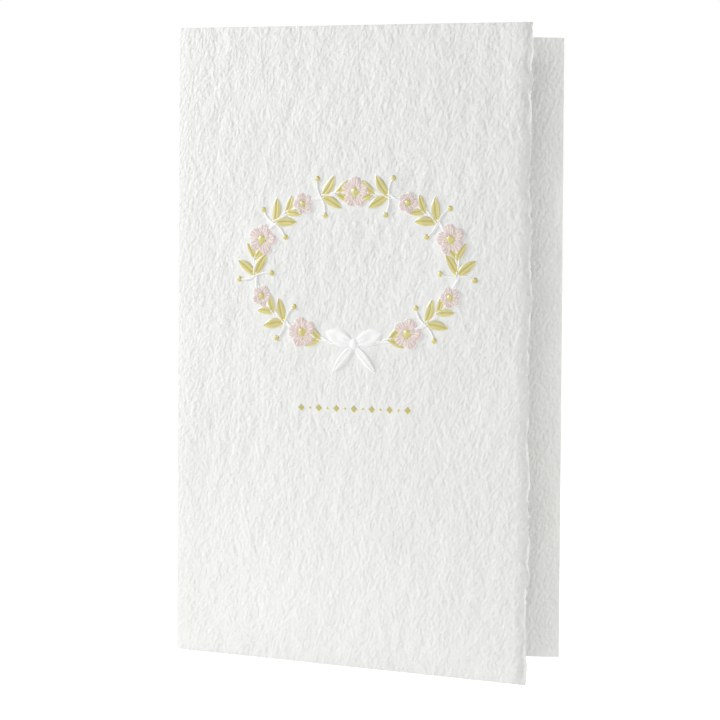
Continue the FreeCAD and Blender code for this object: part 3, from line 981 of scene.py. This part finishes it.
def stalk(start, end):
    """A thin ridge from the stem to a berry."""
    run = end - start
    bm = bmesh.new()
    bmesh.ops.create_cone(
        bm, cap_ends=True, segments=STALK_SIDES, radius1=STALK_RADIUS, radius2=STALK_TIP,
        depth=run.length,
    )
    long_edges = [edge for edge in bm.edges if edge.verts[0].co.z * edge.verts[1].co.z < 0]
    bmesh.ops.subdivide_edges(bm, edges=long_edges, cuts=STALK_CUTS, use_grid_fill=True)
    for vertex in bm.verts:
        share = vertex.co.z / run.length + 0.5
        vertex.co.y += STALK_BOW * math.sin(math.pi * share)
    lie = flat_turn((start + end) / 2, math.atan2(run.y, run.x))
    lie.translation.z = STALK_LIFT
    bm.transform(lie @ Matrix.Rotation(math.pi / 2, 4, "Y"))
    return bm


stem = bmesh.new()
for phase in (0, math.pi):
    into(stem, shoot(phase), Matrix.Identity(4))
for berry, foot in berries:
    into(stem, stalk(foot, berry), Matrix.Identity(4))
onto_panel(stem, WREATH)
print("stem and stalks in", len(stem.faces), "faces")

# %% The bow
BOW_RELIEF = 0.5 * MM
BOW_ALONG = 28
BOW_ACROSS = 16
BOW_FOLD = 0.12 * MM
BOW_FOLDS = 3.2
BOW_FOLD_END = 0.75
LOOP_HOLLOW = 0.3 * MM
LOOP_HOLLOW_AT = 0.62
LOOP_HOLLOW_LONG = 0.2
LOOP_HOLLOW_WIDE = 0.42
TAIL_HOLLOW = 0.12 * MM
TAIL_HOLLOW_WIDE = 0.3
KNOT_RADIUS = 1.5 * MM


def bow_dome(kind):
    """A loop or a tail of the bow, with folds running out of the knot."""
    bm = bmesh.new()
    bmesh.ops.create_grid(bm, x_segments=BOW_ALONG, y_segments=BOW_ACROSS, size=0.5)
    length, width = kind["length"], kind["width"]
    for vertex in bm.verts:
        x, share, half = lens_place(vertex.co, length, width)
        gather = math.cos(BOW_FOLDS * math.pi * share)
        crease = BOW_FOLD * gather * (1 - smooth_step(x / (BOW_FOLD_END * length)))
        if kind is BOW_LOOP:
            past = (x / length - LOOP_HOLLOW_AT) / LOOP_HOLLOW_LONG
            crease -= LOOP_HOLLOW * math.exp(-(past**2) - (share / LOOP_HOLLOW_WIDE) ** 2)
        else:
            crease -= TAIL_HOLLOW * math.exp(-((share / TAIL_HOLLOW_WIDE) ** 2))
        rise = BOW_RELIEF * dome_rise(share, half, width) + crease * dome_fade(share, half, width)
        vertex.co = Vector((x, share * half, rise))
    bmesh.ops.remove_doubles(bm, verts=bm.verts, dist=MERGE)
    close_dome(bm)
    return bm


bow = bmesh.new()
for spot, heading, kind in bow_parts:
    into(bow, bow_dome(kind), flat_turn(spot, heading))
into(bow, round_dome(KNOT_RADIUS, BUTTON_RELIEF, divisions=3), flat_turn(bow_foot, 0))
onto_panel(bow, WREATH)
print("bow in", len(bow.faces), "faces")

# %% [markdown]
# ## Paper up close
#
# The mesh carries the paper's shape down to about a millimetre. What is finer is left to the
# shader: clumped fibres that lean a little from upright, and a faint cloudiness in the white. All
# four materials need it, so it is a node group that gives a height and a tone. Its Grain input
# says how much of the clumps is left where the die pressed the paper.

# %% Node group for paper fibre
CLUMPS = {"scale": 1150.0, "stretch": 1.5, "detail": 0.8, "lean": GRAIN_LEAN}
FIBRES = {"scale": 2600.0, "stretch": 4.5, "detail": 3.0, "lean": -0.5 * GRAIN_LEAN}
CLOUDS = {"scale": 60.0, "stretch": 1.3, "detail": 3.0, "lean": 0.0}
NOISE_ROUGHNESS = 0.55
FIBRE_HEIGHT = 0.12
CLOUD_TONE = 0.7
FIBRE_TONE = 0.3


def group_socket(group, name, kind, output=False, value=None):
    """Adds one named socket to a node group."""
    socket = group.interface.new_socket(
        name=name, in_out="OUTPUT" if output else "INPUT", socket_type=kind
    )
    if value is not None:
        socket.default_value = value


def paper_fibre_group():
    """Fibre clumps of the grain, fine fibres, and cloudiness, from a point in metres."""
    group = bpy.data.node_groups.new("paper_fibre", "ShaderNodeTree")
    group_socket(group, "Point", "NodeSocketVector")
    group_socket(group, "Grain", "NodeSocketFloat", value=1.0)
    group_socket(group, "Height", "NodeSocketFloat", output=True)
    group_socket(group, "Tone", "NodeSocketFloat", output=True)
    nodes, links = group.nodes, group.links
    entry = nodes.new("NodeGroupInput")
    leave = nodes.new("NodeGroupOutput")

    def noise_at(scale, stretch, detail, lean):
        turned = nodes.new("ShaderNodeMapping")
        turned.vector_type = "TEXTURE"
        turned.inputs["Rotation"].default_value = (0, lean, 0)
        turned.inputs["Scale"].default_value = (1 / scale, 1 / scale, stretch / scale)
        links.new(entry.outputs["Point"], turned.inputs["Vector"])
        texture = nodes.new("ShaderNodeTexNoise")
        texture.inputs["Scale"].default_value = 1.0
        texture.inputs["Detail"].default_value = detail
        texture.inputs["Roughness"].default_value = NOISE_ROUGHNESS
        links.new(turned.outputs["Vector"], texture.inputs["Vector"])
        return texture.outputs[0]

    def math_node(operation, first, second):
        node = nodes.new("ShaderNodeMath")
        node.operation = operation
        for number, item in enumerate((first, second)):
            if isinstance(item, float):
                node.inputs[number].default_value = item
            else:
                links.new(item, node.inputs[number])
        return node.outputs[0]

    clumps = noise_at(**CLUMPS)
    fibres = noise_at(**FIBRES)
    clouds = noise_at(**CLOUDS)
    coarse = math_node("MULTIPLY", clumps, entry.outputs["Grain"])
    fine = math_node("MULTIPLY", fibres, FIBRE_HEIGHT)
    links.new(math_node("ADD", coarse, fine), leave.inputs["Height"])
    cloudy = math_node("MULTIPLY", clouds, CLOUD_TONE)
    fibrous = math_node("MULTIPLY", fibres, FIBRE_TONE)
    links.new(math_node("ADD", cloudy, fibrous), leave.inputs["Tone"])
    return group


FIBRE = paper_fibre_group()
print(FIBRE.name, "has", len(FIBRE.nodes), "nodes")

# %% [markdown]
# ## The four finishes
#
# White paper, the same paper pressed smooth and painted whiter as a painted highlight, pale pink
# ink and a matt gold ink. They share one recipe: a tone picks the colour between two close ones,
# and the fibre height becomes a bump. The torn rim is so thin that it lets light through; there
# the white is painted greyer, as painted shade. Printed ones fade to bare paper, painted in the
# pressed white, where the stored ink number falls to nothing at the rim, and darken where the
# stored pool number is high: painted shade in creases and near the rim, partly standing for wet
# ink that gathers there.

# %% Colours
PAPER_LIGHT = (0.900, 0.908, 0.885, 1)
PAPER_DARK = (0.865, 0.873, 0.848, 1)
# A greyer white for the thin torn rim: painted shade.
PAPER_RIM_SHADE = (0.79, 0.80, 0.775, 1)
# The pressed whites lie above the sheet's white: a painted highlight on the raised, pressed paper.
PRESSED_HIGHLIT_LIGHT = (0.985, 0.985, 0.98, 1)
PRESSED_HIGHLIT_DARK = (0.955, 0.955, 0.95, 1)
PINK_LIGHT = (0.96, 0.85, 0.82, 1)
PINK_DARK = (0.90, 0.77, 0.73, 1)
# The pool pink darkens creases and rims: painted shade, partly ink that gathers there.
PINK_POOL_SHADE = (0.71, 0.53, 0.48, 1)
GOLD_LIGHT = (0.86, 0.80, 0.40, 1)
GOLD_DARK = (0.74, 0.67, 0.29, 1)
# The pool gold likewise: painted shade, partly ink that gathers there.
GOLD_POOL_SHADE = (0.55, 0.46, 0.13, 1)
print("paper's two whites lie", round(PAPER_LIGHT[0] - PAPER_DARK[0], 3), "apart")

# %% One recipe for paper and ink
# How far the painted pool shade goes towards its colour.
POOL_SHADE_SHARE = 0.8
SHEEN = 0.3
TONE_LOW = 0.35
TONE_HIGH = 0.65


def mix_colour(nodes, links, share, first, second):
    """Mixes two colours, each one given or coming from another node."""
    node = nodes.new("ShaderNodeMix")
    node.data_type = "RGBA"
    links.new(share, node.inputs["Factor"])
    # A Mix node keeps its two colours in inputs 6 and 7, and their mix in output 2.
    for item, socket in ((first, node.inputs[6]), (second, node.inputs[7])):
        if isinstance(item, tuple):
            socket.default_value = item
        else:
            links.new(item, socket)
    return node.outputs[2]


def stored(nodes, name):
    """A number that was stored with the mesh's points."""
    node = nodes.new("ShaderNodeAttribute")
    node.attribute_name = name
    return node.outputs["Fac"]


def paper_material(
    name, light, dark, grain_share, bump_depth, roughness, pooled_shade=None, metal=0.0, on_sheet=False
):
    """A paper or ink finish; the sheet's own also reads how pressed it is, and how thin, to paint
    shade on its torn rim.
    """
    material = bpy.data.materials.new(name)
    material.use_nodes = True
    nodes, links = material.node_tree.nodes, material.node_tree.links
    shader = nodes["Principled BSDF"]
    shader.inputs["Roughness"].default_value = roughness
    shader.inputs["Metallic"].default_value = metal
    shader.inputs["Specular IOR Level"].default_value = SHEEN
    point = nodes.new("ShaderNodeTexCoord")
    fibre = nodes.new("ShaderNodeGroup")
    fibre.node_tree = FIBRE
    fibre.inputs["Grain"].default_value = grain_share
    links.new(point.outputs["Object"], fibre.inputs["Point"])
    tone = nodes.new("ShaderNodeMapRange")
    tone.inputs["From Min"].default_value = TONE_LOW
    tone.inputs["From Max"].default_value = TONE_HIGH
    links.new(fibre.outputs["Tone"], tone.inputs["Value"])
    colour = mix_colour(nodes, links, tone.outputs["Result"], dark, light)
    if on_sheet:
        calm = nodes.new("ShaderNodeMapRange")
        calm.inputs["To Min"].default_value = grain_share
        calm.inputs["To Max"].default_value = PRESSED_GRAIN * grain_share
        links.new(stored(nodes, "pressed"), calm.inputs["Value"])
        links.new(calm.outputs["Result"], fibre.inputs["Grain"])
        # Painted shade: the thin torn rim turns greyer.
        colour = mix_colour(nodes, links, stored(nodes, "thin"), colour, PAPER_RIM_SHADE)
    # Painted shade in creases and near rims, partly wet ink gathering, where the stored pool number
    # is high.
    if pooled_shade:
        most = nodes.new("ShaderNodeMath")
        most.operation = "MULTIPLY"
        most.inputs[1].default_value = POOL_SHADE_SHARE
        links.new(stored(nodes, "ink_pool_and_shade"), most.inputs[0])
        colour = mix_colour(nodes, links, most.outputs[0], colour, pooled_shade)
        # Where the ink runs out, the paper shows in the pressed white: a painted highlight on the
        # print's margin.
        colour = mix_colour(nodes, links, stored(nodes, "ink"), PRESSED_HIGHLIT_LIGHT, colour)
    links.new(colour, shader.inputs["Base Color"])
    bump = nodes.new("ShaderNodeBump")
    bump.inputs["Strength"].default_value = 1.0
    bump.inputs["Distance"].default_value = bump_depth
    links.new(fibre.outputs["Height"], bump.inputs["Height"])
    links.new(bump.outputs["Normal"], shader.inputs["Normal"])
    print(name, "has", len(nodes), "nodes")
    return material


# %% Give each piece its finish
handmade = paper_material(
    "handmade_paper", PAPER_LIGHT, PAPER_DARK,
    grain_share=1.0, bump_depth=0.31 * MM, roughness=0.9, on_sheet=True,
)
# The pressed paper is whiter than the sheet: a painted highlight on the raised stem and bow.
pressed = paper_material(
    "pressed_paper_highlit", PRESSED_HIGHLIT_LIGHT, PRESSED_HIGHLIT_DARK,
    grain_share=0.15, bump_depth=0.10 * MM, roughness=0.6,
)
pink = paper_material(
    "pink_ink", PINK_LIGHT, PINK_DARK,
    grain_share=0.3, bump_depth=0.16 * MM, roughness=0.7, pooled_shade=PINK_POOL_SHADE,
)
gilt = paper_material(
    "gold_ink", GOLD_LIGHT, GOLD_DARK,
    grain_share=0.3, bump_depth=0.14 * MM, roughness=0.42, pooled_shade=GOLD_POOL_SHADE, metal=0.2,
)

sheet.data.materials.append(handmade)
finish_piece("pink_petals", petals, pink)
finish_piece("gold_leaves", gold, gilt)
finish_piece("ornament_row", row, gilt)
finish_piece("twined_stem", stem, pressed)
finish_piece("pressed_bow", bow, pressed)

# %% [markdown]
# ## Floor, light and camera
#
# White paper is photographed on white. The relief is drawn by one lamp at the left that almost
# grazes the front, because grazing light turns small slopes into large changes of brightness. A
# second grazing lamp from the other side would cancel it, so the lamp for the inner face stands
# just behind the front panel. Another at the left, behind the card, rakes the back. A weak fill
# and the floor's glow, strongest near the card, lift the shadows. The lens is long and stands
# back, so the panels hardly converge. A lamp's row gives its name, its place and side in metres
# and its power in watts.

# %% Floor with a glow round the card
FLOOR_HALF = 6.0
FLOOR_COLOUR = (0.7, 0.7, 0.7, 1)
FLOOR_GLOW_NEAR = 0.42
FLOOR_GLOW_FAR = 0.02
FLOOR_GLOW_REACH = 0.35
FLOOR_GLOW_SEEN = 1.3


def camera_switch(nodes, links, seen):
    """A strength that the camera sees as one value, while another gives the light."""
    path = nodes.new("ShaderNodeLightPath")
    switch = nodes.new("ShaderNodeMapRange")
    switch.inputs["To Max"].default_value = seen
    links.new(path.outputs["Is Camera Ray"], switch.inputs["Value"])
    return switch


def floor_finish():
    """Matt paint that glows most near the card, and looks plain white to the camera."""
    paint = bpy.data.materials.new("floor_paint")
    paint.use_nodes = True
    nodes, links = paint.node_tree.nodes, paint.node_tree.links
    shader = nodes["Principled BSDF"]
    shader.inputs["Base Color"].default_value = FLOOR_COLOUR
    shader.inputs["Roughness"].default_value = 1.0
    shader.inputs["Specular IOR Level"].default_value = 0.0
    shader.inputs["Emission Color"].default_value = FLOOR_COLOUR
    point = nodes.new("ShaderNodeTexCoord")
    away = nodes.new("ShaderNodeVectorMath")
    away.operation = "LENGTH"
    links.new(point.outputs["Object"], away.inputs[0])
    lit = nodes.new("ShaderNodeMapRange")
    lit.inputs["From Max"].default_value = FLOOR_GLOW_REACH
    lit.inputs["To Min"].default_value = FLOOR_GLOW_NEAR
    lit.inputs["To Max"].default_value = FLOOR_GLOW_FAR
    links.new(away.outputs["Value"], lit.inputs["Value"])
    switch = camera_switch(nodes, links, FLOOR_GLOW_SEEN)
    links.new(lit.outputs["Result"], switch.inputs["To Min"])
    links.new(switch.outputs["Result"], shader.inputs["Emission Strength"])
    return paint


floor_mesh = bmesh.new()
bmesh.ops.create_grid(floor_mesh, x_segments=1, y_segments=1, size=FLOOR_HALF)
floor_data = bpy.data.meshes.new("floor")
floor_mesh.to_mesh(floor_data)
floor_mesh.free()
floor_data.materials.append(floor_finish())
floor = add_object("floor", floor_data)
print("the floor is", 2 * FLOOR_HALF, "m wide")

# %% Sky
SKY_SEEN = 1.0
SKY_LIGHT = 0.2

sky = bpy.data.worlds.new("pale_sky")
bpy.context.scene.world = sky
sky.use_nodes = True
sky_nodes, sky_links = sky.node_tree.nodes, sky.node_tree.links
background = sky_nodes["Background"]
background.inputs["Color"].default_value = (1, 1, 1, 1)
sky_switch = camera_switch(sky_nodes, sky_links, SKY_SEEN)
sky_switch.inputs["To Min"].default_value = SKY_LIGHT
sky_links.new(sky_switch.outputs["Result"], background.inputs["Strength"])
print("the sky lights with", SKY_LIGHT, "and is seen as", SKY_SEEN)

# %% Lamps
LAMPS = (
    ("key", Vector((-0.48, -0.21, 0.33)), 0.10, 2.15),
    ("fill", Vector((0.33, -0.90, 0.22)), 0.24, 2.5),
    ("side", Vector((0.70, 0.06, 0.18)), 0.10, 2.3),
    ("back", Vector((-0.60, 0.16, 0.28)), 0.12, 2.6),
)
AIM = Vector((0, -0.02, 0.09))


def add_lamp(name, place, side, power):
    """A square area lamp that looks at the middle of the card."""
    data = bpy.data.lights.new(name, "AREA")
    data.shape = "SQUARE"
    data.size = side
    data.energy = power
    lamp = add_object(name, data)
    lamp.location = place
    lamp.rotation_euler = (AIM - place).to_track_quat("-Z", "Y").to_euler()
    lamp.visible_camera = False


for lamp in LAMPS:
    add_lamp(*lamp)
print("lamps:", [lamp[0] for lamp in LAMPS])

# %% Camera
CAMERA_PLACE = Vector((0.3265, -0.6671, 0.1174))
CAMERA_YAW = math.radians(26.646)
CAMERA_PITCH = math.radians(-2.533)
CAMERA_ROLL = math.radians(1.406)
LENS = 129.86
SENSOR = 36

camera_data = bpy.data.cameras.new("camera")
camera_data.lens = LENS
camera_data.sensor_width = SENSOR
camera = add_object("camera", camera_data)
turn = Matrix.Rotation(CAMERA_YAW, 4, "Z") @ Matrix.Rotation(math.pi / 2 + CAMERA_PITCH, 4, "X")
camera.matrix_world = Matrix.Translation(CAMERA_PLACE) @ turn @ Matrix.Rotation(CAMERA_ROLL, 4, "Z")
bpy.context.scene.camera = camera
bpy.context.scene.view_settings.view_transform = "Standard"
print("the camera stands", round((CAMERA_PLACE - AIM).length, 2), "m from the card")
